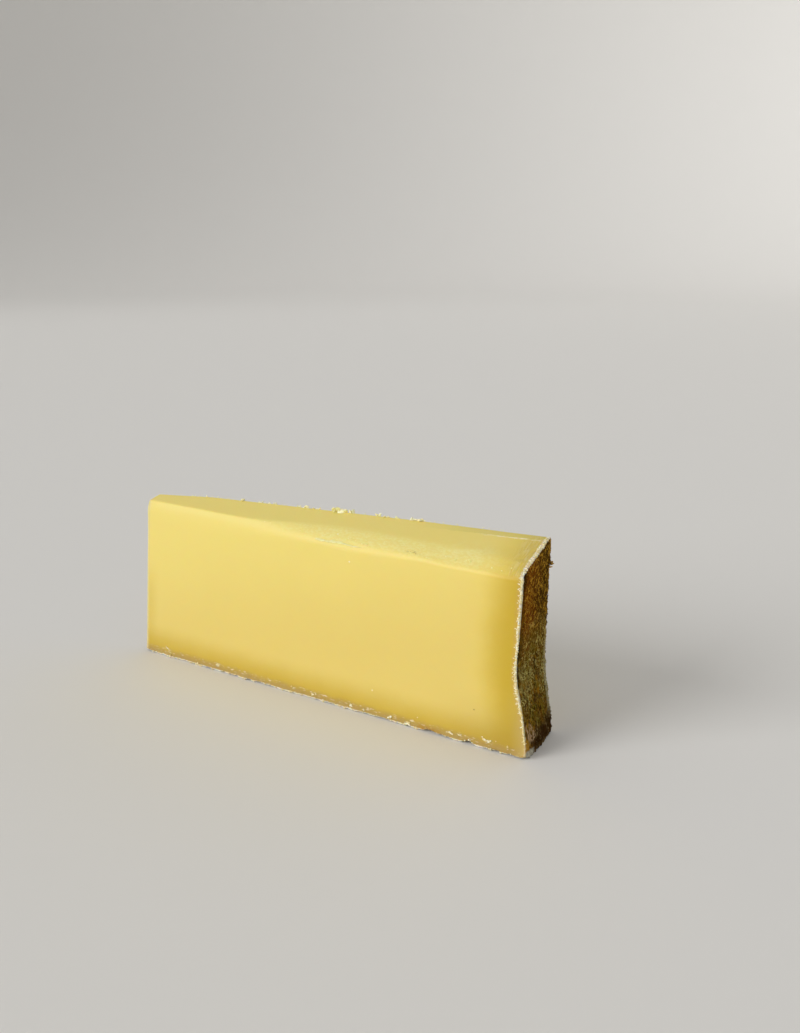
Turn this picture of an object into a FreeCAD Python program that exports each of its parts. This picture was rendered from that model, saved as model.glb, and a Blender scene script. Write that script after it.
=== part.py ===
import FreeCAD, Part
import math
import os

# One long thin slice cut from the lower half of a big pressed mountain-cheese wheel.
# It stands on the wheel's flat rind, with its long cut face to the front (-Y), the thin end
# towards the middle of the wheel (-X) and the hollow rind heel at +X.  Millimetres, +Z up.
# The origin is the middle of the box's footprint, on the flat rind.

Vector = FreeCAD.Vector

# --- driving dimensions -------------------------------------------------------------------

# the wheel that the slice comes from
wheel_radius = 273.0        # at the bead, the plump foot of the heel
lip_round = 2.4             # small round between the bead and the flat rind
bead_height = 5.0           # the heel is upright up to here, then draws in
waist_height = 36.0         # it has drawn in fully by here
waist_depth = 5.6           # and is then this far inside the bead
hoop_lean = 1.8             # above the waist it comes out again, at this angle in degrees

# the slice
slice_length = 204.4        # thin end to bead, along the foot of the front face
face_height = 75.0          # foot of the front face up to its ridge
heel_thickness = 29.2       # front face to back face at the heel, at the foot
bend_thickness = 12.4       # the same where the back face bends
tip_thickness = 5.8         # the same at the thin end
bend_from_tip = 34.0        # the back face bends inward this far from the thin end
axis_miss = 12.7            # the front cut passes this far behind the wheel's axis

# how far the hand-made cuts are out of true, in degrees
front_lean = 1.9            # the front face leans back
back_lean = 2.8             # and so do both planes of the back face
tip_lean = 3.6              # the thin end leans towards the heel
top_tilt = 12.8             # the top rises from the ridge to the back

# worn and smeared edges
ridge_round_tip = 2.0       # round of the ridge at the thin end
ridge_round_heel = 4.6      # the same at the heel
tip_round = 1.5             # round of the thin end's upright edges and its top edge

# raw stock
spare_height = 20.0         # how far the stock stands above the highest cut
section_step = 6.0          # about how far apart the heel's curve is fixed, in height


# --- helpers ------------------------------------------------------------------------------

def rise(degrees):
    """How far a slope moves sideways for each millimetre along it."""
    return math.tan(math.radians(degrees))


def edge_near(solid, point):
    """The solid's edge that passes closest to a point."""
    spot = Part.Vertex(point)
    return min(solid.Edges, key=lambda edge: edge.distToShape(spot)[0])


def cut_away(solid, point, outward):
    """Removes what lies beyond the plane through a point, on its outward side."""
    side = 4.0 * wheel_radius
    block = Part.makeBox(side, side, side, Vector(-side / 2, -side / 2, 0))
    turn = FreeCAD.Rotation(Vector(0, 0, 1), outward)
    block.Placement = FreeCAD.Placement(point, turn)
    return solid.cut(block)


# --- corners that the cuts and the rounds share --------------------------------------------

foot_front_tip = Vector(0, 0, 0)
foot_back_tip = Vector(0, tip_thickness, 0)
foot_back_bend = Vector(bend_from_tip, bend_thickness, 0)
foot_back_heel = Vector(slice_length, heel_thickness, 0)
ridge_tip = Vector(rise(tip_lean), rise(front_lean), 1) * face_height


# --- raw stock: half of the wheel's lower part ---------------------------------------------

def heel_inset(height):
    """How far the heel lies inside the bead, at a height above the flat rind."""
    share = (height - bead_height) / (waist_height - bead_height)
    share = min(max(share, 0.0), 1.0)
    drawn_in = waist_depth * share**2 * (3 - 2 * share)
    return drawn_in - max(height - waist_height, 0.0) * rise(hoop_lean)


def rim_section():
    """Section of the wheel from its axis to the hollow heel, as a face in the XZ plane."""
    stock_height = face_height + heel_thickness * rise(top_tilt) + spare_height
    steps = math.ceil(stock_height / section_step)
    heights = [stock_height * step / steps for step in range(steps + 1)]
    on_heel = [Vector(wheel_radius - heel_inset(height), 0, height) for height in heights]
    heel = Part.BSplineCurve()
    heel.interpolate(on_heel)
    axis_foot, axis_top = Vector(0, 0, 0), Vector(0, 0, stock_height)
    edges = [
        Part.makeLine(axis_foot, on_heel[0]),
        heel.toShape(),
        Part.makeLine(on_heel[-1], axis_top),
        Part.makeLine(axis_top, axis_foot),
    ]
    return Part.Face(Part.Wire(edges))


def half_wheel():
    """The half of the wheel on the heel's side of its axis, with the foot edge rounded."""
    axis_x = slice_length - math.sqrt(wheel_radius**2 - axis_miss**2)
    axis_foot, up = Vector(axis_x, -axis_miss, 0), Vector(0, 0, 1)
    section = rim_section()
    section.rotate(Vector(0, 0, 0), up, -90)
    section.translate(axis_foot)
    stock = section.revolve(axis_foot, up, 180)
    on_foot_edge = axis_foot + Vector(wheel_radius, 0, 0)
    return stock.makeFillet(lip_round, [edge_near(stock, on_foot_edge)])


# --- the cuts -----------------------------------------------------------------------------

def cut_front(solid):
    return cut_away(solid, foot_front_tip, Vector(0, -1, rise(front_lean)))


def cut_back(solid, foot_start, foot_end):
    """One plane of the back face, standing on a line that runs towards the heel."""
    upward = Vector(0, rise(back_lean), 1)
    return cut_away(solid, foot_start, upward.cross(foot_end - foot_start))


def cut_tip(solid):
    return cut_away(solid, foot_front_tip, Vector(-1, 0, rise(tip_lean)))


def cut_top(solid):
    return cut_away(solid, ridge_tip, Vector(0, -rise(top_tilt), 1))


# --- worn edges ---------------------------------------------------------------------------

def round_ridge(solid):
    """Rounds the ridge, little at the thin end and more towards the heel."""
    middle = Vector(slice_length / 2, ridge_tip.y, ridge_tip.z)
    ridge = edge_near(solid, middle)
    rounds = [ridge_round_tip, ridge_round_heel]
    if ridge.valueAt(ridge.FirstParameter).x > middle.x:
        rounds.reverse()
    return solid.makeFillet(rounds[0], rounds[1], [ridge])


def round_tip(solid):
    """Rounds the thin end's two upright edges and its short top edge."""
    front_upright = ridge_tip / 2
    taper = (bend_thickness - tip_thickness) / bend_from_tip
    widening = front_upright.z * (rise(back_lean) - rise(front_lean))
    thickness = tip_thickness + widening + front_upright.x * taper
    back_upright = front_upright + Vector(0, thickness, 0)
    top_edge = ridge_tip + Vector(0, 1, rise(top_tilt)) * (tip_thickness / 2)
    spots = [front_upright, back_upright, top_edge]
    return solid.makeFillet(tip_round, [edge_near(solid, spot) for spot in spots])


# --- the slice ----------------------------------------------------------------------------

def cheese_slice():
    solid = half_wheel()
    solid = cut_front(solid)
    solid = cut_back(solid, foot_back_bend, foot_back_heel)
    solid = cut_back(solid, foot_back_tip, foot_back_bend)
    solid = cut_tip(solid)
    solid = cut_top(solid)
    solid = round_ridge(solid)
    solid = round_tip(solid)
    box = solid.optimalBoundingBox(False)
    solid.translate(Vector(-box.Center.x, -box.Center.y, -box.ZMin))
    return solid


parts = {"cheese_wedge": cheese_slice()}

os.makedirs("parts", exist_ok=True)
for name, solid in parts.items():
    solid.exportStep(os.path.join("parts", name + ".step"))
    box = solid.optimalBoundingBox(False)
    print(
        name,
        "valid", solid.isValid(),
        "solids", len(solid.Solids),
        "volume cm3", round(solid.Volume / 1000, 1),
        "box mm", [round(size, 2) for size in (box.XLength, box.YLength, box.ZLength)],
    )
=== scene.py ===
import bpy
import math
import numpy as np
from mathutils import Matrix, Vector
from types import SimpleNamespace


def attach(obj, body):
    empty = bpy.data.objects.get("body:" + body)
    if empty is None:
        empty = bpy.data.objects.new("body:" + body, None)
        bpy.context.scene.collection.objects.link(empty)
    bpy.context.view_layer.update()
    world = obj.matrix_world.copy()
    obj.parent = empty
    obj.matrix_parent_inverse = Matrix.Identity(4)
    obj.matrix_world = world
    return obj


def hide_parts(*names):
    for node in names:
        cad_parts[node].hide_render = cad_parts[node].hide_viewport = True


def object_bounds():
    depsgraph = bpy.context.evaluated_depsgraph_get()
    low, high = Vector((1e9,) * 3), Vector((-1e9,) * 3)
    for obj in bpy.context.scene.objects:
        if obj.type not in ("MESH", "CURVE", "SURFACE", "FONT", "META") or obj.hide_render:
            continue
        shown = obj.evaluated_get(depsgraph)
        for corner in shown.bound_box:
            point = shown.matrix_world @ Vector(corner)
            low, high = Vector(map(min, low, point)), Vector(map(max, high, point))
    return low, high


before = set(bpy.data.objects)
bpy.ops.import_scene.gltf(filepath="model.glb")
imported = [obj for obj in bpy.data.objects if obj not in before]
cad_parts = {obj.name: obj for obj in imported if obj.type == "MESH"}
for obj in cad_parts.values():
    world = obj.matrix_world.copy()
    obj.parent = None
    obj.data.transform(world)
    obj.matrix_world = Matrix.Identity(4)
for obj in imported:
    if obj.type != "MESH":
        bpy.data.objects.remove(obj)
cadBox = [list(corner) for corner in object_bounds()]  # the CAD model's box, metres
nodeName = "cheese_wedge"
mm = 0.001
print("frame loaded, box", cadBox)


# Shader maths: a Wire is one output socket, and sums of wires add Math nodes.

class Wire:
    def __init__(self, finish, socket):
        self.finish, self.socket = finish, socket

    def math(self, operation, *parts):
        return self.finish.add("ShaderNodeMath", {"operation": operation}, dict(enumerate(parts)))

    def __add__(self, other):
        return self.math("ADD", self, other)

    def __radd__(self, other):
        return self.math("ADD", other, self)

    def __sub__(self, other):
        return self.math("SUBTRACT", self, other)

    def __rsub__(self, other):
        return self.math("SUBTRACT", other, self)

    def __mul__(self, other):
        return self.math("MULTIPLY", self, other)

    def __rmul__(self, other):
        return self.math("MULTIPLY", other, self)

    def __truediv__(self, other):
        return self.math("DIVIDE", self, other)

    def __pow__(self, other):
        return self.math("POWER", self, other)

    def __abs__(self):
        return self.math("ABSOLUTE", self)


def srgb(red, green, blue):  # screen colour 0..255 to a shader colour
    def linear(value):
        share = value / 255
        return share / 12.92 if share <= 0.04045 else ((share + 0.055) / 1.055) ** 2.4
    return (linear(red), linear(green), linear(blue), 1.0)


class Finish:  # builds one node material
    def __init__(self, name, look=None):
        self.look, self.colour = look, None
        self.material = bpy.data.materials.new(name)
        self.material.use_nodes = True
        self.tree = self.material.node_tree
        self.tree.nodes.clear()

    def add(self, kind, settings=None, sockets=None, out=0):
        node = self.tree.nodes.new(kind)
        for name, value in (settings or {}).items():
            setattr(node, name, value)
        for name, value in (sockets or {}).items():
            if isinstance(value, Wire):
                self.tree.links.new(value.socket, node.inputs[name])
            else:
                node.inputs[name].default_value = value
        return Wire(self, node.outputs[out]) if len(node.outputs) else None

    def attribute(self, name):  # a number painted on the mesh's points
        return self.add("ShaderNodeAttribute", {"attribute_name": name}, out=2)

    def rise(self, value, low, high):  # 0 below low, 1 above high, eased between
        settings = {"interpolation_type": "SMOOTHSTEP"}
        sockets = {"Value": value, "From Min": low, "From Max": high}
        return self.add("ShaderNodeMapRange", settings, sockets)

    def fall(self, value, low, high):
        return 1 - self.rise(value, low, high)

    def near(self, value, centre, reach):  # 1 at the centre, 0 past the reach
        return self.fall(abs(value - centre), 0.0, reach)

    def noise(self, where, size, detail=2.0, roughness=0.5, bend=0.0):  # lumps about size mm wide
        sockets = {"Vector": where, "Scale": 1 / size, "Detail": detail}
        sockets.update({"Roughness": roughness, "Distortion": bend})
        return self.add("ShaderNodeTexNoise", None, sockets)

    def spots(self, where, spacing, radius):  # small round spots, about spacing mm apart
        sockets = {"Vector": where, "Scale": 1 / spacing}
        distance = self.add("ShaderNodeTexVoronoi", None, sockets)
        return self.fall(distance, radius * 0.6 / spacing, radius / spacing)

    def stretched(self, where, factors):  # the same place, with each axis scaled
        settings = {"operation": "MULTIPLY"}
        return self.add("ShaderNodeVectorMath", settings, {0: where, 1: factors})

    def mix(self, factor, first, second):  # colours
        settings = {"data_type": "RGBA"}
        return self.add("ShaderNodeMix", settings, {0: factor, 6: first, 7: second}, out=2)

    def lay(self, name, amount):  # a colour of the look over the rest
        self.colour = self.mix(amount, self.colour, self.look[name])

    def threads(self, where, size, width, bend=1.5):  # thin winding lines, 1 on the line
        folded = abs(self.noise(where, size, 1.0, 0.5, bend) - 0.5)
        return self.fall(folded, 0.0, width)

    def bump(self, height, distance, strength=1.0, under=None):
        sockets = {"Strength": strength, "Distance": distance * mm, "Height": height}
        if under is not None:
            sockets["Normal"] = under
        return self.add("ShaderNodeBump", None, sockets)

    def close(self, sockets):  # the shader itself and the output
        shader = self.add("ShaderNodeBsdfPrincipled", None, sockets)
        self.add("ShaderNodeOutputMaterial", None, {"Surface": shader})
        return self.material


# The slice's shape, in mm from the thin end's front foot: x along, y to the back, z up.

wedge = {
    "ridgeHeight": 75.0,
    "frontLean": 1.9, "backLean": 2.8, "tipLean": 3.6, "topTilt": 12.8,  # degrees
    "tipThick": 5.8, "bendThick": 12.4, "heelThick": 29.2, "bendAt": 34.0,
    "wheelRadius": 273.0, "axisMiss": 12.7,
    "beadHeight": 5.0, "waistHeight": 36.0, "waistDepth": 5.6, "hoopLean": 1.8,
}
footCorner = np.array([cadBox[0][0], cadBox[0][1], 0.0]) / mm
length = (cadBox[1][0] - cadBox[0][0]) / mm
axisX = length - math.sqrt(wedge["wheelRadius"] ** 2 - wedge["axisMiss"] ** 2)


def slope(name):
    return math.tan(math.radians(wedge[name]))


def ease(value, low, high):
    share = np.clip((value - low) / (high - low), 0, 1)
    return share * share * (3 - 2 * share)


def near(value, centre, reach):  # 1 at the centre, 0 past the reach
    return 1 - ease(abs(value - centre), 0, reach)


def frontY(z):
    return z * slope("frontLean")


backTaper = (wedge["heelThick"] - wedge["bendThick"]) / (length - wedge["bendAt"])
heelWide = 29.5  # mm across the heel, for the finishes


def backY(x, z):
    nearTip = wedge["tipThick"] + (wedge["bendThick"] - wedge["tipThick"]) * x / wedge["bendAt"]
    nearHeel = wedge["bendThick"] + backTaper * (x - wedge["bendAt"])
    return np.minimum(nearTip, nearHeel) + z * slope("backLean")


def topZ(y):
    return wedge["ridgeHeight"] + (y - frontY(wedge["ridgeHeight"])) * slope("topTilt")


def heelInset(z):
    drawnIn = wedge["waistDepth"] * ease(z, wedge["beadHeight"], wedge["waistHeight"])
    return drawnIn - np.maximum(z - wedge["waistHeight"], 0) * slope("hoopLean")


def heelX(y, z):
    radius = wedge["wheelRadius"] - heelInset(z)
    return axisX + np.sqrt(radius ** 2 - (y + wedge["axisMiss"]) ** 2)


# Smooth noise for the relief, the same each run.

lattice = np.random.default_rng(7).random((64, 64, 64)) * 2 - 1


def cloud(points, size, shift=0.0):  # -1..1, lumps about size mm wide
    place = points / np.asarray(size) + shift
    cell = np.floor(place).astype(int)
    share = place - cell
    share = share * share * (3 - 2 * share)
    total = 0.0
    for corner in np.ndindex(2, 2, 2):
        weight = np.prod(np.where(corner, share, 1 - share), axis=1)
        i, j, k = ((cell + corner) & 63).T
        total = total + lattice[i, j, k] * weight
    return total


def rough(points, size, octaves=3, shift=0.0):
    size = np.asarray(size, dtype=float)
    layers = [cloud(points, size / 2**n, shift + 5.3 * n) / 2**n for n in range(octaves)]
    return sum(layers)


edges = {  # mm
    "tipRound": 1.1, "backRound": 0.7, "rindRound": 0.5, "footRound": 0.8,
    "tipSpare": 0.3,  # the thin end stands this much proud of the plane
    "bevelDown": 2.5,  # how far the smeared ridge reaches down the front
    "bevelTip": 1.1, "bevelBack": 6.4,  # and back over the top, at the thin end and further on
    "bevelStart": 50.0, "bevelFull": 122.0, # where along the slice it widens
    "stripWide": 5.3, "stripDrop": 0.9,  # the lower strip along the top's back edge
    "stripStart": 120.0,
    "footLift": 0.6, "footBulge": 0.42,  # how uneven the foot of the front face is
    "notches": [(160.5, 6.0, 1.0), (179.0, 3.2, 1.4)],  # worn foot: place, reach, height
    "plumpBack": 1.4,  # the heel is this much less hollow at the back edge
    "footTuck": 0.7,  # and this much drawn in above its foot
}


def softMax(a, b, k):  # the greater of two distances, blended over k
    overlap = np.maximum(k - abs(a - b), 0) / k
    return np.maximum(a, b) + overlap * overlap * k / 4


def footRise(line, x, y, z):  # how much of the front's foot is worn away
    lift = np.clip(0.1 + 1.6 * cloud(line, 7, 6.0), 0, 1) * ease(x, 110, 150)
    small = np.clip(1.3 * rough(line, 2.6, 2, 2.0), 0, 0.8) * ease(x, 8, 40)
    lift = edges["footLift"] * (lift + small)
    for place, reach, height in edges["notches"]:
        lift = lift + height * near(x + 0.8 * cloud(line, 2.0, 1.0), place, reach)
    ends = 0.9 * (1 - ease(x, 0, 9)) + 1.3 * ease(x, length - 2.2, length + 0.3)
    behindFront = np.maximum(y - frontY(z), 0)
    return (lift + ends) * np.exp(-behindFront / 1.8)


def heelFace(x, y, z):  # how far a point lies outside the rind heel
    radius = np.hypot(x - axisX, y + wedge["axisMiss"])
    share = np.clip((y - frontY(z)) / (backY(x, z) - frontY(z)), 0, 1)
    plump = edges["plumpBack"] * share**2 * ease(z, 21, 31) * (1 - ease(z, 34, 70))
    tuck = edges["footTuck"] * near(z, 11, 12) * (0.4 + 0.6 * abs(2 * share - 1))
    return radius - (wedge["wheelRadius"] - heelInset(z) + plump - tuck)


def smearGrowth(x):  # 0 at the thin end, 1 where the ridge is smeared most
    return ease(x, edges["bevelStart"], edges["bevelFull"]) * (1 - 0.25 * ease(x, 160, 200))


def ridgeBevel(line, x, y, z):  # how far a point lies above the smeared ridge
    grow = smearGrowth(x)
    down = edges["bevelDown"] * (0.4 + 0.6 * ease(x, 0, 14)) + 0.3 * cloud(line, 17, 8.0)
    wide = edges["bevelBack"] - edges["bevelTip"]
    backward = edges["bevelTip"] + wide * grow + 0.9 * cloud(line, 23, 9.0) * grow
    ridgeY = frontY(wedge["ridgeHeight"])
    climb = down + backward * slope("topTilt")
    size = np.hypot(climb, backward)
    return ((z - wedge["ridgeHeight"] + down) * backward - (y - ridgeY) * climb) / size


def topStrip(x, y, z):  # how far a point lies above the top's lower strip
    drop = edges["stripDrop"] * ease(x, edges["stripStart"], length)
    fromBack = backY(x, z) - y
    return z - topZ(y) + drop * (1 - fromBack / edges["stripWide"])


def shapeDistance(p):  # how far a point lies outside the slice, about
    x, y, z = p.T
    line = np.column_stack([x, x * 0, x * 0])  # for waves that only run along the slice
    footNear = np.exp(-np.maximum(z, 0) / 1.6)
    bulge = edges["footBulge"] * footNear * np.clip(0.6 + rough(line, 9, 3, 3.0), 0, 1.1)
    bulge = bulge * (1 - ease(x, 140, 156) * (1 - ease(x, 183, 192)))
    front = (frontY(z) - y) - bulge - 0.12 * cloud(p, 34, 1.0)
    back = y - backY(x, z) - 0.15 * cloud(p, 30, 2.0)
    top = (z - topZ(y)) * math.cos(math.radians(wedge["topTilt"])) - 0.12 * cloud(p, 22, 4.0)
    tip = z * slope("tipLean") - x - edges["tipSpare"] * (1 + ease(z, 60, 72))
    bottom = footRise(line, x, y, z) - z

    grow = smearGrowth(x)
    body = softMax(top, ridgeBevel(line, x, y, z), 0.5 + 1.1 * grow)
    body = softMax(body, topStrip(x, y, z), 0.12)
    body = softMax(body, front, 2.2 + 0.6 * grow - 1.5 * ease(x, 125, 160))
    body = softMax(body, tip, edges["tipRound"] * 1.2)
    body = softMax(body, back, edges["backRound"] * 1.2)
    body = softMax(body, bottom, edges["footRound"] * 1.2)
    return softMax(body, heelFace(x, y, z), edges["rindRound"] * 1.2)


def shapeNormal(p, step=0.02):
    here = shapeDistance(p)
    slopes = [(shapeDistance(p + step * np.eye(3)[axis]) - here) / step for axis in range(3)]
    return here, np.column_stack(slopes)


def settle(p, rounds=4):  # moves points onto the blended shape
    for _ in range(rounds):
        away, normal = shapeNormal(p)
        p = p - normal * (away / np.maximum((normal**2).sum(axis=1), 0.2))[:, None]
    _, normal = shapeNormal(p)
    return p, normal / np.linalg.norm(normal, axis=1)[:, None]


# The mesh: rings round the slice from the thin end to the heel, then two end caps.

def walk(total, steps):  # fractions 0..1; steps is (place, step length), ...
    places = [0.0]
    while places[-1] < total:
        places.append(places[-1] + np.interp(places[-1], *zip(*steps)))
    return np.array(places) / places[-1]


detail = {  # mm between mesh lines: (place, step), ...
    "tall": 80.0, "thick": 29.0,  # what the up and across lines are counted over
    "along": [(0, 0.45), (6, 0.72), (185, 0.72), (192, 0.45), (205, 0.37)],
    "upCoarse": [(0, 0.35), (5, 0.5), (12, 1.8), (62, 2.2), (69, 0.7), (80, 0.45)],
    "upFine": [(0, 0.335), (80, 0.335)],
    "acrossCoarse": [(0, 0.45), (3, 0.9), (9, 1.3), (22, 1.3), (27, 0.45), (30, 0.45)],
    "acrossFine": [(0, 0.335), (29, 0.335)],
    "coarseEnds": 187.0, "mediumEnds": 197.0,
}


def crossSection(along):  # which heights and depths a ring has
    tall, thick = detail["tall"], detail["thick"]
    if along < detail["coarseEnds"]:
        return walk(tall, detail["upCoarse"]), walk(thick, detail["acrossCoarse"])
    up, across = walk(tall, detail["upFine"]), walk(thick, detail["acrossFine"])
    if along < detail["mediumEnds"]:
        return np.append(up[:-1:2], 1.0), np.append(across[:-1:2], 1.0)
    return up, across


def ringPlaces(up, across):  # loop up the front, over the top, down the back
    front, top, back, foot = up[:-1], across[:-1], up[:0:-1], across[:0:-1]
    depth = np.concatenate([0 * front, top, 0 * back + 1, foot])
    height = np.concatenate([front, 0 * top + 1, back, 0 * foot])
    turn = np.concatenate([front, 1 + top, 2 + (1 - back), 3 + (1 - foot), [4.0]])
    return depth, height, turn


def placePoints(along, depth, height):  # fractions to mm, on the sharp-edged slice
    z = height * detail["tall"]
    x = along * length
    for _ in range(5):  # each round brings the three closer
        y = frontY(z) + depth * (backY(x, z) - frontY(z))
        x = z * slope("tipLean") + along * (heelX(y, z) - z * slope("tipLean"))
        z = height * topZ(y)
    return np.column_stack([x, y, z])


def zipRings(first, second, faces):  # (start index, turns) of two neighbouring rings
    (a, turnA), (b, turnB) = first, second
    countA, countB = len(turnA) - 1, len(turnB) - 1
    if countA == countB:
        for i in range(countA):
            j = (i + 1) % countA
            faces.append((a + i, b + i, b + j, a + j))
        return
    i = j = 0
    while i < countA or j < countB:
        here, there = a + i % countA, b + j % countB
        if j >= countB or (i < countA and turnA[i + 1] <= turnB[j + 1]):
            faces.append((here, there, a + (i + 1) % countA))
            i += 1
        else:
            faces.append((here, there, b + (j + 1) % countB))
            j += 1


def capGrid(start, up, across, along, points, faces, outward):
    rows, columns = len(up), len(across)
    ring = 2 * (rows + columns) - 4
    index = np.zeros((rows, columns), dtype=int)
    index[:, 0] = start + np.arange(rows)
    index[-1, :] = start + rows - 1 + np.arange(columns)
    index[:, -1] = start + rows + columns - 2 + np.arange(rows)[::-1]
    index[0, 1:] = start + (ring - np.arange(1, columns))
    inner = len(points)
    count = (rows - 2) * (columns - 2)
    index[1:-1, 1:-1] = inner + np.arange(count).reshape(rows - 2, columns - 2)
    height, depth = np.meshgrid(up[1:-1], across[1:-1], indexing="ij")
    points = np.vstack([points, placePoints(along, depth.ravel(), height.ravel())])
    for r in range(rows - 1):
        for c in range(columns - 1):
            face = (index[r, c], index[r, c + 1], index[r + 1, c + 1], index[r + 1, c])
            faces.append(face if outward else face[::-1])
    return points


def buildLoft():
    points, faces, rings = np.zeros((0, 3)), [], []
    stations = walk(length, detail["along"])
    for along in stations:
        up, across = crossSection(along * length)
        depth, height, turn = ringPlaces(up, across)
        rings.append((len(points), turn))
        points = np.vstack([points, placePoints(along, depth, height)])
    for first, second in zip(rings, rings[1:]):
        zipRings(first, second, faces)
    tipUp, tipAcross = crossSection(0)
    heelUp, heelAcross = crossSection(length)
    points = capGrid(rings[0][0], tipUp, tipAcross, 0.0, points, faces, False)
    points = capGrid(rings[-1][0], heelUp, heelAcross, 1.0, points, faces, True)
    return points, faces


# Relief: what the knife, the hoop and the cellar left on each face.

relief = {  # mm
    "lumps": 0.20, "fibres": 0.18, "streaks": 0.30, "footRough": 0.5,
    "lipRaise": 0.16, "lipWide": 0.9,
    "creviceDepth": 1.2, "creviceAt": 2.1, "creviceWide": 1.5,
    "crackDepth": 1.2, "crackAt": 0.61, "crackWide": 1.7,  # at this share of the thickness
}


def heelRelief(p):
    x, y, z = p.T
    across = y - frontY(z)
    share = across / (backY(x, z) - frontY(z))
    fade = ease(across, 0.2, 1.6)
    lower = 1 - ease(z, 16, 46)
    foot = 1 - ease(z, 7, 13)
    lumps = relief["lumps"] * rough(p, 8, 3, 1.7)
    fibres = relief["fibres"] * (1 - 2 * abs(cloud(p, (1.4, 1.4, 2.4), 4.1)))
    streaks = relief["streaks"] * lower * rough(p, (3, 1.2, 8), 3, 2.9)
    feet = relief["footRough"] * foot * rough(p, (3, 1.8, 5), 3, 8.3)
    wobble = 0.7 * cloud(p, 7, 3.3)
    opened = ease(z, 22, 32) * (1 - ease(z, 72, 76)) * np.clip(0.8 + rough(p, 6, 2, 6.1), 0.35, 1)
    wide = relief["creviceWide"] * (1 + 0.7 * near(z, 42, 20) + 0.4 * cloud(p, 4, 2.7))
    crevice = near(across, relief["creviceAt"] + 0.4 * wobble, wide) * opened
    crevice = np.clip(crevice * 1.5, 0, 1)
    crackLine = relief["crackAt"] + 0.035 * cloud(p, 9, 5.5) + 0.02 * cloud(p, 3, 1.5)
    crackRun = ease(z, 9, 12) * (1 - ease(z, 34, 42))
    crackRun = crackRun * np.clip(0.75 + 1.2 * cloud(p, 4, 9.1), 0.15, 1)
    crack = near((share - crackLine) * 28, 0, relief["crackWide"]) * crackRun
    lip = near(across, 0.2, relief["lipWide"]) * relief["lipRaise"] * (1 + 0.8 * cloud(p, 1.2, 7.7))
    height = (lumps + fibres + streaks + feet) * fade + lip
    height = height - relief["creviceDepth"] * crevice - relief["crackDepth"] * crack
    return height, np.maximum(crevice, crack)


def faceRelief(p):  # cut faces: drag marks, torn edges, soft dents
    x, y, z = p.T
    rindDepth = wedge["wheelRadius"] - heelInset(z) - np.hypot(x - axisX, y + wedge["axisMiss"])
    edge = near(rindDepth, 0.5, 1.3) * relief["lipRaise"]
    edge = edge * np.clip(0.5 + cloud(p, 1.1, 2.2), 0, 1.3)
    drag = 0.03 * cloud(p, (60, 3, 2.2), 3.9) + 0.05 * cloud(p, (14, 9, 9), 1.4)
    foot = np.exp(-np.maximum(z, 0) / 2.0) * 0.32 * rough(p, (1.7, 3, 1.3), 3, 5.2)
    smear = ease(z, 71, 73) * (1 - ease(y, 7, 13)) * ease(x, 70, 120)
    frost = smear * 0.09 * rough(p, (5, 1.6, 1.6), 3, 3.1)
    return edge + drag + foot + frost


def shaped(p):  # final points, their normals, and which are rind
    p, normals = settle(p)
    radial = np.column_stack([p[:, 0] - axisX, p[:, 1] + wedge["axisMiss"], 0 * p[:, 0]])
    radial = radial / np.linalg.norm(radial, axis=1)[:, None]
    onHeel = ease((normals * radial).sum(axis=1), 0.55, 0.85)
    onFoot = normals[:, 2] < -0.65
    heelHeight, shadedGap = heelRelief(p)
    height = onHeel * heelHeight + (1 - onHeel) * faceRelief(p)
    height = np.where(onFoot, -0.15 * abs(rough(p, 3, 3, 6.6)), height)
    p = p + normals * height[:, None]
    return p, normals, onHeel, onFoot, shadedGap * onHeel


def addPiece(name, points, faces, attributes, flat=False):
    mesh = bpy.data.meshes.new(name)
    points = np.column_stack([points[:, 0], points[:, 1], np.maximum(points[:, 2], 0)])
    mesh.from_pydata(((points + footCorner) * mm).tolist(), [], faces)
    mesh.polygons.foreach_set("use_smooth", [not flat] * len(mesh.polygons))
    for key, values in attributes.items():
        layer = mesh.attributes.new(key, "FLOAT", "POINT")
        layer.data.foreach_set("value", np.asarray(values, dtype=np.float32))
    mesh.update()
    piece = bpy.data.objects.new(name, mesh)
    bpy.context.collection.objects.link(piece)
    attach(piece, "root")
    print(name, len(mesh.polygons), "faces")
    return piece


def makeWedge():
    points, faces = buildLoft()
    points, _, onHeel, onFoot, shadedGap = shaped(points)
    body = addPiece("wedgeBody", points, faces, {"shadedGap": shadedGap})
    y, z = points[:, 1], points[:, 2]
    backEdge = ease(y, 14, 20) * ease(topZ(y) - z, 2, 5)  # the rind ends raggedly there
    isRind = (onHeel > 0.5 + backEdge * (0.25 * cloud(points, 1.2, 4.4) - 0.3)) | onFoot
    slots = [int(np.mean([isRind[v] for v in face.vertices]) > 0.5) for face in body.data.polygons]
    body.data.polygons.foreach_set("material_index", slots)
    return body


body = makeWedge()
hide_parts(nodeName)


# What the finishes share: places in mm and the depth in from the rind.

def places(f):  # p is the whole place; x, y and z are its parts
    scaled = f.stretched(f.add("ShaderNodeTexCoord", out=3), (1 / mm, 1 / mm, 1 / mm))
    shift = {0: scaled, 1: tuple(-footCorner)}
    p = f.add("ShaderNodeVectorMath", {"operation": "ADD"}, shift)
    split = f.add("ShaderNodeSeparateXYZ", None, {"Vector": p})
    x, y, z = [Wire(f, output) for output in split.socket.node.outputs]
    return SimpleNamespace(p=p, x=x, y=y, z=z)


def rindDepthOf(f, at):  # how deep inside the heel's rind a point lies
    radius = ((at.x - axisX) ** 2 + (at.y + wedge["axisMiss"]) ** 2) ** 0.5
    drawnIn = wedge["waistDepth"] * f.rise(at.z, wedge["beadHeight"], wedge["waistHeight"])
    leaned = at.z.math("MAXIMUM", at.z - wedge["waistHeight"], 0.0)
    inset = drawnIn - leaned * slope("hoopLean")
    return wedge["wheelRadius"] - inset - radius


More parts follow.
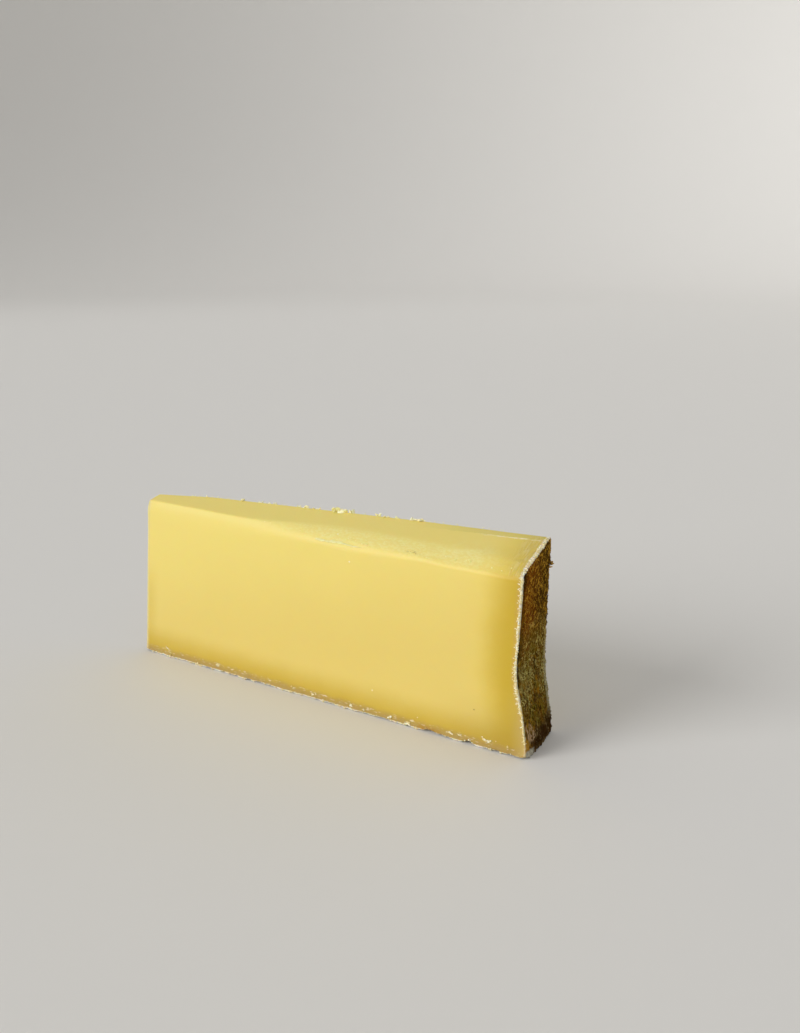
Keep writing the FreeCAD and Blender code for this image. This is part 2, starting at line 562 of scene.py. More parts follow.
pasteLook = {
    "light": srgb(236, 216, 121), "deep": srgb(227, 203, 112),
    "honey": srgb(232, 204, 76), "golden": srgb(199, 167, 42), "tan": srgb(196, 160, 82),
    "corner": srgb(168, 138, 56), "lowRim": srgb(198, 174, 108),
    "band": srgb(174, 145, 82), "cream": srgb(255, 249, 228), "frost": srgb(240, 229, 152),
    "edgeGrey": srgb(214, 205, 156), "strip": srgb(208, 194, 92), "ochre": srgb(178, 128, 34),
    "speck": srgb(120, 84, 30),
    "goldenReach": 20.5, "footReach": 16.5, "bandReach": 4.7,  # mm in from the rind
    "roughness": 0.45, "softness": 0.5, "softReach": 2.2,
}


def pastePlaces(f):  # where a point of the cut lies, and shared noise
    at = places(f)
    at.depth = rindDepthOf(f, at)
    at.tipDepth = at.x - at.z * slope("tipLean")
    at.across = at.y - at.z * slope("frontLean")
    at.onTop = f.rise(at.z - at.y * slope("topTilt"), 71.4, 72.5)
    at.inFront = f.fall(at.across, 1.0, 4.0)
    at.fine = f.noise(at.p, 1.9, 3, 0.6)
    at.wander = f.noise(at.p, 11, 2) - 0.5
    at.slow = (f.noise(at.p, 6, 3) - 0.5) * 2.4
    at.ragged = (f.noise(at.p, 0.9, 3, 0.7) - 0.5) * 2.0
    return at


def pasteTones(f, at):  # slow changes of yellow over the whole cut: paler toward the top and the thin end, more golden toward the heel and the foot, darker in the low corner by the heel
    broad = f.noise(at.p, 34, 2, 0.5) - 0.5
    height = at.z - at.x * 0.18 + broad * 16
    f.colour = f.mix(f.rise(height, 4.0, 60.0), f.look["deep"], f.look["light"])
    fromHeel = at.depth + at.wander * 4
    f.lay("honey", f.fall(fromHeel, 6.0, 26.0) * 0.4)
    underRidge = f.rise(at.z, 52.0, 70.0) * 1.7
    towardHeel = f.fall(fromHeel + underRidge, 3.0, f.look["goldenReach"])
    f.lay("golden", towardHeel * (0.92 - at.onTop * 0.5))
    towardFoot = f.fall(at.z + at.wander * 2.5, 2.0, f.look["footReach"])
    f.lay("golden", towardFoot * 0.85)
    lowCorner = f.fall(at.depth, 2.0, 46.0) * f.fall(at.z, 2.0, 26.0)
    f.lay("corner", lowCorner * 0.5)
    lowTip = f.fall(at.tipDepth, 1.5, 9.0) * f.fall(at.z, 25.0, 50.0)
    f.lay("golden", lowTip * 0.3)


def driedEdges(f, at):  # the dried band along the foot and beside the rind
    bandEdge = at.z + at.slow + at.ragged * 0.3
    band = f.fall(bandEdge, f.look["bandReach"] - 3.2, f.look["bandReach"] + 0.6)
    f.lay("band", band * 0.86)
    dashes = f.rise(f.noise(f.stretched(at.p, (0.25, 1, 1)), 0.7, 2, 0.6), 0.56, 0.66)
    dashes = dashes * f.near(at.z + at.slow * 0.35, 3.0, 1.6) * at.inFront
    f.lay("cream", dashes * 0.5)
    ochre = f.near(at.x, 160.0, 9.0) * f.near(at.z, 1.2, 2.4)
    ochre = ochre * f.rise(f.noise(at.p, 1.6, 2), 0.4, 0.5)
    f.lay("ochre", ochre)
    tan = f.fall(at.depth + (at.fine - 0.5) * 2.0, 1.4, 3.0)
    f.lay("tan", tan * (0.5 - at.onTop * 0.3))
    lowRim = f.fall(at.depth + at.wander * 3, 0.5, 8.0) * f.fall(at.z + at.wander * 8, 10.0, 30.0)
    f.lay("lowRim", lowRim * 0.6)


def frostedRidge(f, at):  # frost where the ridge is smeared, and on the top
    frostNoise = f.noise(f.stretched(at.p, (0.6, 0.9, 0.9)), 0.85, 3, 0.65)
    backReach = 1.2 + f.rise(at.x, edges["bevelStart"], edges["bevelFull"]) * 5.4
    behind = at.y - 2.5 - backReach + at.slow * 0.4
    faded = f.fall(behind, -0.6, 1.0 + f.rise(at.x, 60.0, 120.0) * 3.5)
    at.overRidge = f.rise(at.z, 71.2, 74.2) * faded
    strength = 0.28 + 0.5 * f.rise(at.x, 60.0, 110.0) * f.rise(frostNoise, 0.42, 0.62)
    frostEnds = f.rise(at.tipDepth, 1.0, 8.0) * f.rise(at.depth, 4.0, 28.0)
    f.lay("frost", at.overRidge * strength * frostEnds)
    haze = f.rise(f.noise(at.p, 4.0, 3, 0.6), 0.42, 0.62)
    haze = haze * (0.5 + 0.5 * f.rise(frostNoise, 0.4, 0.65))
    smudge = at.onTop * f.near(at.x, 172.0, 19.0) * f.near(at.y, 10.0, 10.0) * haze
    f.lay("frost", smudge * 0.7)


def knifeMarks(f, at):  # arcs by the heel, and the strip along the back edge
    arc = {"X": at.depth * 1.9, "Y": at.y * 0.2, "Z": at.wander * 0.4}
    arc = f.add("ShaderNodeCombineXYZ", None, arc)
    sheets = at.onTop * f.rise(at.depth, 1.2, 2.6) * f.fall(at.depth + at.wander * 6, 4.5, 11.0)
    at.peeling = sheets * f.rise(f.noise(arc, 1.0, 2, 0.55), 0.44, 0.6)
    f.lay("cream", at.peeling * (0.03 + 0.24 * at.fine))
    fromBack = wedge["heelThick"] + (at.x - length) * backTaper + at.z * slope("backLean") - at.y
    lineAt = fromBack + at.ragged * 0.7 + (f.noise(at.p, 3.2, 3, 0.6) - 0.5) * 2.6
    strip = at.onTop * f.rise(at.x, 135.0, 170.0)
    strip = strip * f.fall(lineAt, edges["stripWide"] - 0.4, edges["stripWide"])
    f.lay("strip", strip * 0.45)
    line = at.onTop * f.rise(at.x, 165.0, 182.0) * f.near(lineAt, edges["stripWide"] + 0.1, 0.8)
    f.lay("cream", line * f.rise(at.fine, 0.3, 0.55) * 0.6)


def paleEdges(f, at):  # the crumbly cream lip at the rind, and thin pale lines
    crumbly = f.rise(f.noise(at.p, 0.75, 2, 0.6), 0.4, 0.55)
    creamReach = 0.75 + at.onTop * 0.95
    cream = f.fall(at.depth + at.ragged - creamReach, -0.2, 0.25)
    cream = cream * (0.25 + f.rise(at.z, 6.0, 11.0) * 0.75)
    atBack = f.rise(at.across, 14.0, 20.0) * (1.0 - at.onTop)
    f.lay("cream", cream * (1.0 - atBack * 0.65))
    f.lay("tan", cream * at.onTop * f.rise(crumbly, 0.3, 0.9) * 0.6)
    at.crumbs = crumbly * cream
    footLine = f.fall(at.z + at.ragged * 0.55, 0.6, 1.15)
    f.lay("cream", footLine * (0.2 + at.inFront * 0.65))
    paleTip = f.fall(at.tipDepth + at.ragged * 0.3, 0.6, 2.2) * f.fall(at.across, 1.5, 5.0)
    f.lay("edgeGrey", paleTip * 0.6)


def pasteSpecks(f, at):  # crystals, pinholes and one stain on the ridge
    crystals = f.spots(at.p, 13.0, 0.45)
    f.lay("cream", crystals * 0.6)
    at.holes = f.spots(f.stretched(at.p, (1.07, 0.93, 1.11)), 19.0, 0.36)
    f.lay("speck", at.holes * 0.6)
    stain = f.near(at.x, 150.0, 5.0) * f.near(at.z, 74.2, 0.9)
    stain = stain * f.rise(f.noise(at.p, 0.8, 2), 0.5, 0.54)
    f.lay("speck", stain * f.near(at.y, 3.6, 2.2) * 0.9)


def makePaste():
    f, look = Finish("pasteCut", pasteLook), pasteLook
    at = pastePlaces(f)
    for layer in (pasteTones, driedEdges, frostedRidge, knifeMarks, paleEdges, pasteSpecks):
        layer(f, at)
    grain = f.bump(at.fine, 0.10, 0.4)
    dimples = f.bump(f.noise(at.p, 5.5, 2, 0.5), 0.25, 0.22, grain)
    pits = f.bump(at.peeling + at.crumbs - at.holes * 2, 0.25, 0.8, dimples)
    roughness = look["roughness"] + (at.fine - 0.5) * 0.14 + at.overRidge * 0.12
    return f.close({
        "Base Color": f.colour, "Roughness": roughness, "Normal": pits, "IOR": 1.45,
        "Specular IOR Level": 0.35,
        "Subsurface Weight": look["softness"], "Subsurface Radius": (1.0, 0.62, 0.22),
        "Subsurface Scale": look["softReach"] * mm,
    })


rindLook = {
    "dark": srgb(58, 34, 3), "brown": srgb(112, 74, 6), "orange": srgb(148, 90, 4),
    "olive": srgb(132, 106, 18), "gold": srgb(176, 132, 40), "mould": srgb(194, 180, 108),
    # the first colour below is the bead's dark brown, darkened further as painted shade near the
    # floor
    "foot": srgb(54, 28, 9), "corner": srgb(190, 142, 48), "cream": srgb(243, 231, 192),
    # the first colour below is near-black painted shade for the crevice and crack
    "shadedGap": srgb(20, 12, 3), "drip": srgb(170, 148, 100), "scar": srgb(206, 172, 132),
    "chalk": srgb(206, 202, 182), "ochre": srgb(164, 112, 12),
}


def rindPlaces(f):  # where a point of the rind lies, and shared noise
    at = places(f)
    at.across = at.y - at.z * slope("frontLean")
    at.share = at.across / heelWide
    at.wander = f.noise(at.p, 9, 2) - 0.5
    at.patch = f.noise(at.p, 4.5, 3, 0.6)
    at.fineNoise = f.noise(at.p, 0.9, 3, 0.6)
    return at


def rindTones(f, at):  # brown above and olive below, with dark blotches
    frontHalf = f.fall(at.share + at.wander * 0.5, 0.2, 0.75)
    orange = f.rise(at.patch, 0.35, 0.6) * (0.3 + frontHalf * 0.7)
    f.colour = f.mix(orange, f.look["brown"], f.look["orange"])
    lowPart = f.fall(at.z + at.wander * 18, 38.0, 58.0)
    f.lay("olive", lowPart * 0.8)
    ochre = f.rise(f.noise(at.p, 3.0, 2), 0.52, 0.6) * lowPart
    f.lay("ochre", ochre * 0.7)
    upright = f.stretched(at.p, (1.0, 1.0, 0.5))
    at.blotch = f.noise(upright, 2.2, 3, 0.6)
    dark = f.rise(at.blotch, 0.45, 0.6) * (0.85 - f.near(at.z, 44.0, 16.0) * 0.25)
    f.lay("dark", dark)
    at.worms = f.threads(upright, 2.0, 0.09)
    f.lay("gold", at.worms * 0.4)


def dustyMould(f, at):  # upright dusty patches, and a pale back edge
    dusty = f.fall(at.z + at.wander * 8, 34.0, 50.0) * f.rise(at.z, 14.0, 26.0)
    patches = f.rise(f.noise(f.stretched(at.p, (1, 1, 0.4)), 3.4, 3, 0.6), 0.43, 0.56)
    at.grains = f.rise(f.noise(f.stretched(at.p, (1, 1, 0.3)), 1.2, 2, 0.6), 0.48, 0.58)
    f.lay("mould", dusty * patches * at.grains * 0.8)
    backEdge = f.rise(at.share + (at.patch - 0.5) * 0.2, 0.82, 0.92)
    backEdge = backEdge * f.rise(at.z, 7.0, 11.0) * f.fall(at.z, 24.0, 60.0)
    f.lay("mould", backEdge * (0.45 + at.grains * 0.5))


def darkFootAndShade(f, at):  # the dark bead, its own dark brown darkened further as painted shade near the floor: drips, a scar and two pale patches
    # partly painted shade: the bead is darkened past its own colour, for the shade near the floor
    shadedFootBand = f.fall(at.z + (f.noise(at.p, 3, 3) - 0.5) * 7, 7.0, 12.0)
    f.lay("foot", shadedFootBand * 0.85)
    drips = f.rise(f.noise(f.stretched(at.p, (1, 1, 0.22)), 1.3, 2, 0.6), 0.54, 0.6)
    f.lay("drip", shadedFootBand * drips * 0.6)
    torn = (f.noise(at.p, 1.8, 3, 0.65) - 0.5) * 5
    scarred = f.near(at.across + (at.z - 9.0) * 0.5 + torn * 0.5, 5.5, 4.6)
    scarred = scarred * f.near(at.z + torn * 0.4, 9.5, 6.0)
    scarred = f.rise(scarred, 0.1, 0.5) * f.rise(drips + at.grains, 0.2, 0.8)
    f.lay("scar", scarred * 0.85)
    golden = f.fall(at.across + torn * 1.4 + at.z * 0.5, 4.0, 9.0)
    golden = golden * f.near(at.z + torn * 0.6, 6.0, 5.5)
    golden = f.rise(golden, 0.05, 0.6) * (0.5 + at.fineNoise * 0.8)
    f.lay("corner", golden)
    chalky = f.fall(at.across + torn, 6.0, 8.5) * f.fall(at.z + torn * 0.3, 2.4, 3.4)
    chalky = chalky * (0.55 + 0.4 * f.rise(at.fineNoise, 0.35, 0.6))
    f.lay("chalk", chalky)
    backLip = f.rise(at.share, 0.955, 0.98) * f.rise(at.z, 2.0, 4.0) * f.fall(at.z, 7.0, 10.0)
    f.lay("chalk", backLip * 0.8)


def gapShadeAndLip(f, at):  # painted shade in the crevice and crack, and the pale front lip
    # painted shade: near-black laid into the modelled crevice and crack, where shade falls
    opened = f.rise(f.attribute("shadedGap") + (at.fineNoise - 0.5) * 0.8, 0.25, 1.15)
    f.lay("shadedGap", opened * 0.9)
    ragged = (f.noise(at.p, 0.9, 3, 0.7) - 0.5) * 1.3
    lip = f.fall(at.across + ragged, 0.35, 0.7) * f.rise(at.z, 6.0, 10.0)
    f.lay("cream", lip)


def makeRind():
    f = Finish("rindHeel", rindLook)
    at = rindPlaces(f)
    for layer in (rindTones, dustyMould, darkFootAndShade, gapShadeAndLip):
        layer(f, at)
    height = at.worms * 0.6 - at.blotch * 0.9 + at.grains * 0.25
    return f.close({
        "Base Color": f.colour, "Roughness": 0.85, "Normal": f.bump(height, 0.6, 0.9),
        "Specular IOR Level": 0.08,
    })


body.data.materials.append(makePaste())
body.data.materials.append(makeRind())
print("body finishes made")


# Small pieces: chunks of paste and strands of rind, joined by kind.

def ballPoints(cells):  # a cube's grid blown up to a ball
    grid = np.linspace(-1, 1, cells + 1)
    points, faces, seen = [], [], {}
    for axis in range(3):
        for side in (-1.0, 1.0):
            index = np.zeros((cells + 1, cells + 1), dtype=int)
            for i, u in enumerate(grid):
                for j, v in enumerate(grid):
                    spot = np.roll([side, u, v], axis)
                    key = tuple(np.round(spot, 6))
                    if key not in seen:
                        seen[key] = len(points)
                        points.append(np.tan(spot * math.pi / 4))
                    index[i, j] = seen[key]
            for i in range(cells):
                for j in range(cells):
                    face = (index[i, j], index[i + 1, j], index[i + 1, j + 1], index[i, j + 1])
                    faces.append(face if side > 0 else face[::-1])
    points = np.array(points)
    return points / np.linalg.norm(points, axis=1)[:, None], faces


balls = {cells: ballPoints(cells) for cells in (2, 4, 6)}


class Heap:  # gathers chunks and strands into one piece
    def __init__(self, seed):
        self.random = np.random.default_rng(seed)
        self.draw = self.random.uniform  # between a low and a high value
        self.points, self.faces, self.tones = [], [], []
        self.count = 0

    def take(self, points, faces, tone):
        self.points.append(points)
        self.faces.extend([tuple(v + self.count for v in face) for face in faces])
        self.tones.append(np.full(len(points), tone))
        self.count += len(points)

    def chunk(self, centre, size, cells=4, blocky=0.75, turn=None):
        ball, faces = balls[cells]
        shift = self.random.random() * 50
        push = 1 + 0.55 * cloud(ball, 0.8, shift) + 0.3 * cloud(ball, 0.35, shift + 9)
        lump = np.sign(ball) * abs(ball) ** blocky * push[:, None] * np.asarray(size) / 2
        if turn is None:
            turn = self.draw(-0.6, 0.6, 3)
        for axis, angle in enumerate(turn):
            first, second = (axis + 1) % 3, (axis + 2) % 3
            a, b = lump[:, first].copy(), lump[:, second].copy()
            lump[:, first] = a * math.cos(angle) - b * math.sin(angle)
            lump[:, second] = a * math.sin(angle) + b * math.cos(angle)
        self.take(lump + centre, faces, self.random.random())

    def strands(self, roots, along, out, lengths, widths, bow, lift):
        side = np.cross(out, along)
        rings = []
        for share in np.linspace(0, 1, 4):
            arch = math.sin(math.pi * share)
            centre = roots + along * (lengths * (share - 0.5))[:, None]
            centre = centre + side * (bow * arch)[:, None] + out * (lift * arch)[:, None]
            width = (widths * (0.4 + 0.6 * arch) / 2)[:, None]
            for turn in (math.pi / 2, math.pi * 7 / 6, math.pi * 11 / 6):
                rings.append(centre + (side * math.cos(turn) + out * math.sin(turn)) * width)
        points = np.stack(rings, axis=1)
        faces = [(2, 1, 0), (9, 10, 11)]
        for k in (0, 3, 6):
            for c in range(3):
                d = (c + 1) % 3
                faces.append((k + c, k + d, k + 3 + d, k + 3 + c))
        for strand in points:
            self.take(strand, faces, self.random.random())

    def place(self, name, slot, material, flat=False):
        tones = np.concatenate(self.tones)
        piece = addPiece(name, np.vstack(self.points), self.faces, {"tone": tones}, flat)
        piece.data.materials.append(material)
        return piece


def makeCrumbFinish(name, light, dark, roughness):
    f = Finish(name)
    tone = f.attribute("tone")
    fine = f.noise(places(f).p, 0.8, 2, 0.6)
    colour = f.mix(f.rise(tone * 0.7 + fine * 0.6, 0.3, 1.0), light, dark)
    return f.close({
        "Base Color": colour, "Roughness": roughness, "Normal": f.bump(fine, 0.15, 0.6),
        "Specular IOR Level": 0.3, "Subsurface Weight": 0.3,
        "Subsurface Radius": (1.0, 0.7, 0.4), "Subsurface Scale": 0.3 * mm,
    })


creamFinish = makeCrumbFinish("creamBits", srgb(255, 246, 212), srgb(230, 206, 134), 0.55)
crumbFinish = makeCrumbFinish("pasteBits", srgb(255, 250, 212), srgb(246, 238, 174), 0.5)
smearFinish = makeCrumbFinish("draggedPaste", srgb(254, 246, 178), srgb(248, 234, 152), 0.5)

crumbs = {  # along the top's back edge: place, reach, count, size
    "heaps": [
        (25, 3.0, 5, 0.5), (34, 4.0, 7, 0.6), (44, 3.0, 3, 0.4), (50.5, 1.2, 4, 1.1),
        (61, 2.5, 5, 0.6), (67, 2.5, 6, 0.7), (72, 2.0, 3, 0.5), (80, 1.5, 4, 0.8),
        (84, 1.5, 5, 0.8), (89, 2.0, 4, 0.7),
        (99, 1.8, 6, 1.6), (102.5, 1.8, 6, 1.9), (107.5, 1.2, 4, 1.5), (113, 2.0, 3, 0.4),
        (120.5, 1.6, 6, 1.1), (124, 1.5, 4, 0.8), (130, 1.8, 5, 0.8), (136, 1.8, 6, 1.2),
        (140, 1.8, 6, 1.2), (147, 4.0, 4, 0.4), (158, 5.0, 5, 0.35), (172, 6.0, 6, 0.35),
    ],
    "stand": 0.42,  # how much of its size a crumb stands above the top
    "edgeHeight": 79.0,  # about how high the back edge is
}


def makeCrumbs():
    heap = Heap(11)
    for place, reach, count, size in crumbs["heaps"]:
        for _ in range(count):
            x = place + heap.draw(-reach, reach)
            big = size * heap.draw(0.55, 1.15)
            y = backY(x, crumbs["edgeHeight"]) - heap.draw(-0.1, 0.9) - 0.15 * big
            z = topZ(y) + big * crumbs["stand"] * heap.draw(0.3, 1.0)
            shape = big * np.array([1.5, 0.95, 0.45]) * heap.draw(0.6, 1.3, 3)
            turn = heap.draw(-1.1, 1.1, 3)
            heap.chunk(np.array([x, y, z]), shape, 4, 0.6, turn)
    heap.place("backEdgeCrumbs", "paste", crumbFinish, True)


flakes = {  # on the front's foot: place, height, width, height, depth
    "chips": [
        (16.6, 0.9, 1.2, 1.5, 0.8), (33.6, 0.7, 1.2, 2.0, 1.0), (35.2, -0.1, 1.8, 0.8, 0.8),
        (32.6, 0.0, 1.2, 0.8, 0.8), (37.2, 3.6, 0.7, 0.7, 0.4), (14.4, 4.3, 3.0, 0.4, 0.3),
        (46.2, 3.4, 2.8, 0.5, 0.3), (89.6, 3.2, 0.8, 0.8, 0.4), (101.5, 2.2, 1.6, 1.1, 0.5),
        (103.0, 2.6, 1.0, 0.8, 0.4), (121.8, 2.4, 2.4, 1.6, 0.6), (128.2, 1.8, 1.2, 0.9, 0.5),
        (141.5, 2.1, 2.6, 1.4, 0.6), (150.6, 1.7, 2.4, 1.5, 0.8), (149.2, 0.9, 1.0, 1.0, 0.6),
        (170.8, 2.9, 2.2, 1.1, 0.7), (174.9, 3.1, 2.0, 0.6, 0.5), (186.2, 3.9, 2.6, 1.2, 0.8),
        (188.3, 3.9, 2.2, 1.1, 0.8), (189.1, 1.0, 0.8, 0.7, 0.5), (196.4, 3.8, 0.8, 0.9, 0.5),
        (185.2, 5.0, 0.5, 0.5, 0.3), (155.2, 5.4, 0.5, 0.5, 0.3), (191.2, 4.8, 0.5, 0.4, 0.3),
    ],
    "specks": 150, "speckSize": 0.55,
}


def onFront(x, up):  # points of the finished front face
    x, up = np.asarray(x, dtype=float), np.asarray(up, dtype=float)
    points, normals, *_ = shaped(np.column_stack([x, frontY(up) - 0.3, up]))
    return points, normals


def makeFlakes():
    heap = Heap(23)
    chips = np.array(flakes["chips"])
    points, normals = onFront(chips[:, 0], np.maximum(chips[:, 1], 0.25))
    for point, normal, (_, _, wide, tall, thick) in zip(points, normals, chips):
        for _ in range(4):
            level = (heap.draw(-0.3, 0.3), heap.draw(-0.7, 0.7), 0.0)
            aside = np.array([wide, 0.0, tall]) * heap.draw(-0.34, 0.34, 3)
            size = np.array([wide, thick, tall]) * heap.draw(0.35, 0.75, 3)
            heap.chunk(point + aside + normal * thick * 0.1, size, 4, 0.9, level)
    count = flakes["specks"]  # the ragged line along the foot
    up = abs(heap.random.normal(0, 0.35, count)) + 0.3
    points, _ = onFront(heap.draw(3, length - 2, count), up)
    for point in points:
        size = flakes["speckSize"] * heap.draw(0.5, 1.3)
        heap.chunk(point, size * heap.draw(0.6, 1.4, 3), 2)
    heap.place("footFlakes", "paste", creamFinish)


rim = {  # mm
    "bits": 460, "bitSize": 0.6, "spurs": 72, "spurLength": 1.35,
    "tufts": [59, 47, 36, 33, 22, 12, 68],  # heights where the spurs gather
}


def makeRim():
    heap = Heap(31)
    count = rim["bits"]
    up = heap.draw(7.0, 73.6, count)
    inward = abs(heap.random.normal(0.1, 0.34, count))
    alongFront, _ = onFront(heelX(frontY(up), up) - inward, up)
    y = heap.draw(4, 30, count // 3)
    inward = abs(heap.random.normal(0.2, 0.7, count // 3))
    alongTop, *_ = shaped(np.column_stack([heelX(y, topZ(y)) - inward, y, topZ(y) + 0.3]))
    for point in np.vstack([alongFront, alongTop]):
        size = rim["bitSize"] * heap.draw(0.5, 1.25)
        heap.chunk(point, size * heap.draw(0.7, 1.3, 3), 2)
    count = rim["spurs"]
    up = heap.random.choice(rim["tufts"], count) + heap.random.normal(0, 3.5, count)
    up = np.clip(up, 1.5, 73)
    spurs, _ = onFront(heelX(frontY(up), up) - heap.draw(0.4, 1.7, count), up)
    for point in spurs:
        size = heap.draw(0.5, 1.2) * rim["spurLength"]
        turn = (0.0, heap.draw(-0.9, 0.9), 0.0)
        heap.chunk(point, (size, 0.3, 0.22 + 0.2 * heap.random.random()), 2, 0.9, turn)
    heap.place("rindEdgeBits", "paste", creamFinish)


smear = {  # mm along the slice, and up
    "from": 103.0, "to": 125.0, "pieces": 56, "height": 73.1, "waver": 0.35,
    "grains": 30, "grainsFrom": 60, "grainsTo": 196,
}


def makeSmear():  # thin lip of paste dragged along the ridge
    heap = Heap(47)
    share = np.arange(smear["pieces"]) / smear["pieces"]
    up = smear["height"] - smear["waver"] * np.sin(share * 9.1)
    points, _ = onFront(smear["from"] + (smear["to"] - smear["from"]) * share, up)
    for point, part in zip(points, share):
        tall = heap.draw(0.45, 0.95) if part < 0.55 else heap.draw(0.2, 0.5)
        size = (heap.draw(1.2, 2.4), 0.4, tall)
        turn = (-0.6, heap.draw(-0.15, 0.15), 0.0)
        heap.chunk(point, size, 4, 0.9, turn)
    count = smear["grains"]  # loose grains strewn over the ridge
    x = heap.draw(smear["grainsFrom"], smear["grainsTo"], count)
    y = frontY(74) + heap.draw(-0.1, 3.0, count)
    points, *_ = shaped(np.column_stack([x, y, topZ(y)]))
    for point in points:
        size = heap.draw(0.25, 0.6)
        heap.chunk(point, (size * 1.8, size, size * 0.6), 2)
    heap.place("ridgeSmear", "paste", smearFinish)


makeCrumbs()
makeFlakes()
makeRim()
makeSmear()


fuzz = {
    "strands": 7400, "length": 2.1, "width": 0.25, "upLift": 0.22, "sink": 0.05,  # mm
    "tuft": 70.0, "tuftBits": 9,  # height of the loose tuft on the back edge
    "brown": srgb(86, 58, 3), "orange": srgb(138, 76, 2), "gold": srgb(224, 172, 56),
    "olive": srgb(132, 110, 6), "ochre": srgb(140, 98, 20), "shade": srgb(46, 32, 2),
    # the last colour below is the bead's dark brown, darkened further as painted shade near the
    # floor
    "dust": srgb(236, 224, 138), "mould": srgb(206, 202, 172), "foot": srgb(64, 32, 8),
}


def makeFuzzFinish():
    f = Finish("rindFuzz", fuzz)
    at, tone = places(f), f.attribute("tone")
    wander = f.noise(at.p, 9, 2) - 0.5
    share = (at.y - at.z * slope("frontLean")) / heelWide
    frontHalf = f.fall(share + wander * 0.5, 0.2, 0.8)
    upper = f.mix(frontHalf, fuzz["brown"], fuzz["orange"])
    upper = f.mix(f.rise(tone, 0.5, 1.0), upper, fuzz["gold"])
    earthy = f.rise(f.noise(at.p, 4.0, 2), 0.42, 0.6)
    f.colour = f.mix(earthy, fuzz["olive"], fuzz["ochre"])
    f.lay("shade", f.fall(tone, 0.15, 0.45) * (0.75 - f.rise(at.z, 26.0, 44.0) * 0.4))
    powder = f.rise(f.noise(at.p, 5.5, 3, 0.6), 0.44, 0.56)
    dust = f.rise(tone, 0.4, 0.9) * (0.22 + 0.85 * powder)
    frontLow = f.near(at.z, 29.0, 9.0) * f.fall(share, 0.2, 0.5)
    f.lay("dust", dust * (0.35 + f.rise(at.z, 14.0, 24.0) * 0.65) + frontLow * 0.25)
    lowPart = f.fall(at.z + wander * 14, 34.0, 56.0)
    f.colour = f.mix(lowPart, upper, f.colour)
    edge = f.rise(share, 0.84, 0.93) * f.rise(at.z, 7.0, 10.0) * f.fall(at.z, 24.0, 46.0)
    f.lay("mould", edge * 0.7)
    # partly painted shade: strands on the bead take their own dark brown, darkened further for the
    # shade near the floor
    f.lay("foot", f.fall(at.z + (f.noise(at.p, 3, 2) - 0.5) * 6, 7.0, 12.0) * 0.85)
    return f.close({"Base Color": f.colour, "Roughness": 0.8, "Specular IOR Level": 0.08})


def strandRoots(heap):  # places on the heel, none in its gaps and bare patches
    count = fuzz["strands"]
    up = heap.draw(1.5, 80, count)
    share = heap.draw(0.06, 0.985, count)
    y = frontY(up) + share * (backY(length, up) - frontY(up))
    keep = up < topZ(y) - 0.8
    up, y = up[keep], y[keep]
    points, normals, _, _, shadedGap = shaped(np.column_stack([heelX(y, up), y, up]))
    across, z = points[:, 1] - frontY(points[:, 2]), points[:, 2]
    bare = near(across + cloud(points, 3) * 2, 3, 7) * near(z, 8, 11)
    bare = bare + near(across, 2, 12) * near(z, 0, 6)
    keep = (shadedGap < 0.12) & (bare < heap.draw(0.05, 0.5, len(points)))
    return points[keep], normals[keep]


def growStrands(heap, points, normals):  # upright below, tangled and longer above
    count = len(points)
    upper = ease(points[:, 2], 30, 55)
    tilt = heap.random.normal(0.0, 1.0, count) * (0.55 + 0.45 * upper)
    sideways = np.cross(normals, [0, 0, 1.0])
    sideways = sideways / np.linalg.norm(sideways, axis=1)[:, None]
    upright = np.cross(sideways, normals)
    along = upright * np.cos(tilt)[:, None] + sideways * np.sin(tilt)[:, None]
    lengths = fuzz["length"] * heap.draw(0.5, 1.4, count) * (0.5 + 0.5 * upper)
    widths = fuzz["width"] * heap.draw(0.7, 1.4, count)
    bow = heap.random.normal(0, 0.28, count)
    lift = fuzz["upLift"] * heap.draw(0.2, 1.4, count)
    heap.strands(points - normals * fuzz["sink"], along, normals, lengths, widths, bow, lift)


def makeFuzz():
    heap = Heap(59)
    points, normals = strandRoots(heap)
    growStrands(heap, points, normals)
    for _ in range(fuzz["tuftBits"]):
        z = fuzz["tuft"] + heap.draw(-1.3, 1.1)
        y = backY(length, z) - heap.draw(0.3, 1.0)
        x = heelX(y, z) + heap.draw(0.1, 1.2)
        size = np.array([1.3, 0.5, 0.8]) * heap.draw(0.5, 1.2, 3)
        heap.chunk(np.array([x, y, z]), size, 4, 0.9)
    heap.place("rindFibres", "rind", makeFuzzFinish())


makeFuzz()


# The stage: a pale floor that curves up into a wall except where the light comes in, soft lights,
# and the camera.

light = {  # the key comes from the front left
    "keyFrom": (-0.47, -0.79, 0.40), "keyPower": 2.03, "keySpread": 34.0,  # degrees
    "air": 0.468,
}
stage = {  # metres
    "flat": 2.6, "curve": 1.2, "wall": 1.6, "curveSteps": 12, "sides": 96,
    "sunk": -0.87, "stands": -0.45,  # the wall's turn from the lamp, as a minus cosine
    "colour": srgb(226, 224, 220),
}


def stageProfile():  # (radius, height) from the middle out and up
    profile = [(0.0, 0.0), (0.6, 0.0), (1.4, 0.0), (stage["flat"], 0.0)]
    for step in range(1, stage["curveSteps"] + 1):
        turn = math.radians(90 * step / stage["curveSteps"])
        out, up = stage["curve"] * math.sin(turn), stage["curve"] * (1 - math.cos(turn))
        profile.append((stage["flat"] + out, up))
    profile.append((stage["flat"] + stage["curve"], stage["curve"] + stage["wall"]))
    return profile


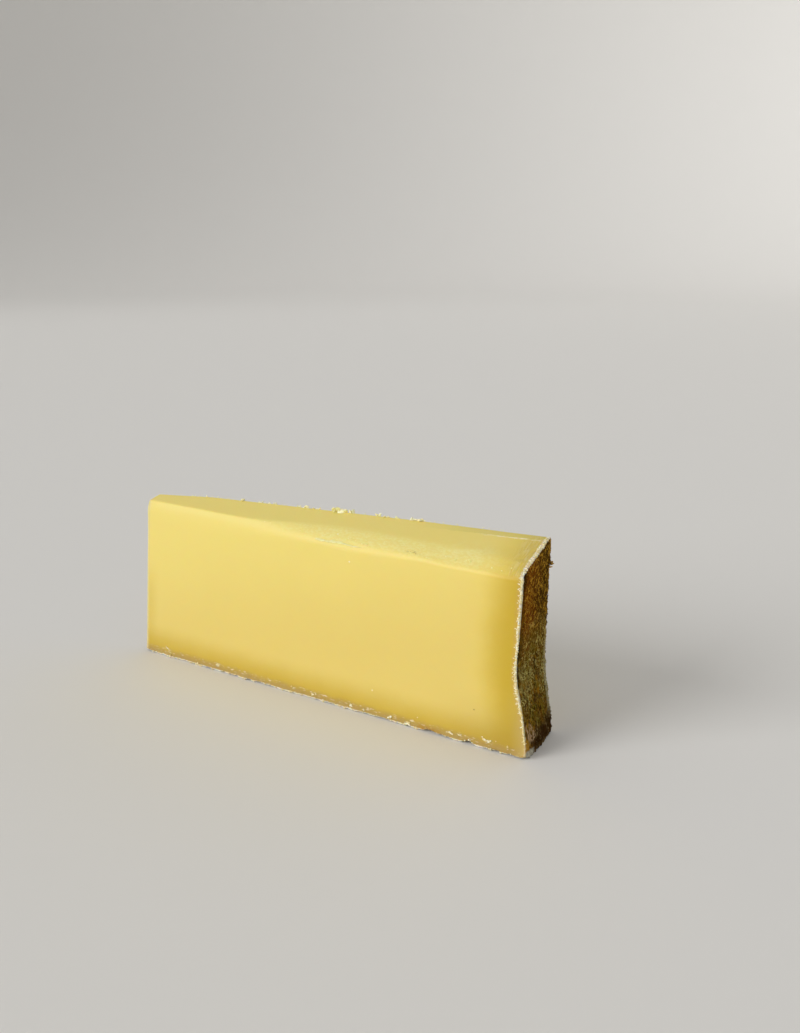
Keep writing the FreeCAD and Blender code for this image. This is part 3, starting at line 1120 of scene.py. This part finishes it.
def makeStage():  # the wall sinks to the floor where the light comes in
    profile, sides = stageProfile(), stage["sides"]
    lampTurn = math.atan2(light["keyFrom"][1], light["keyFrom"][0])
    points = [(0.0, 0.0, 0.0)]
    for radius, height in profile[1:]:
        for side in range(sides):
            turn = 2 * math.pi * side / sides
            upright = float(ease(-math.cos(turn - lampTurn), stage["sunk"], stage["stands"]))
            points.append((radius * math.cos(turn), radius * math.sin(turn), height * upright))
    faces = [(0, 1 + side, 1 + (side + 1) % sides) for side in range(sides)]
    for ring in range(len(profile) - 2):
        low, high = 1 + ring * sides, 1 + (ring + 1) * sides
        for side in range(sides):
            after = (side + 1) % sides
            faces.append((low + side, high + side, high + after, low + after))
    mesh = bpy.data.meshes.new("studioFloor")
    mesh.from_pydata(points, [], faces)
    mesh.polygons.foreach_set("use_smooth", [True] * len(mesh.polygons))
    f = Finish("studioPale")
    mesh.materials.append(f.close({"Base Color": stage["colour"], "Roughness": 0.7}))
    floor = bpy.data.objects.new("studioFloor", mesh)
    bpy.context.collection.objects.link(floor)


def makeLight():
    lamp = bpy.data.lights.new("key", "SUN")
    lamp.energy = light["keyPower"]
    lamp.angle = math.radians(light["keySpread"])
    holder = bpy.data.objects.new("key", lamp)
    holder.rotation_euler = (-Vector(light["keyFrom"])).to_track_quat("-Z", "Y").to_euler()
    bpy.context.collection.objects.link(holder)
    world = bpy.data.worlds.new("studioAir")
    world.use_nodes = True
    air = world.node_tree.nodes["Background"].inputs
    air["Color"].default_value = (1.0, 1.0, 1.0, 1.0)
    air["Strength"].default_value = light["air"]
    bpy.context.scene.world = world
    bpy.context.scene.view_settings.view_transform = "Standard"


view = {"place": (0.26644, -0.35755, 0.20097), "down": 15.34, "turn": 33.03, "lens": 37.55}


def makeCamera():
    camera = bpy.data.cameras.new("camera")
    camera.lens = view["lens"]
    camera.sensor_width = 36.0
    camera.clip_start = 0.01
    holder = bpy.data.objects.new("camera", camera)
    holder.location = view["place"]
    holder.rotation_euler = (math.radians(90 - view["down"]), 0.0, math.radians(view["turn"]))
    bpy.context.collection.objects.link(holder)
    bpy.context.scene.camera = holder


makeStage()
makeLight()
makeCamera()
print("stage, light and camera made")
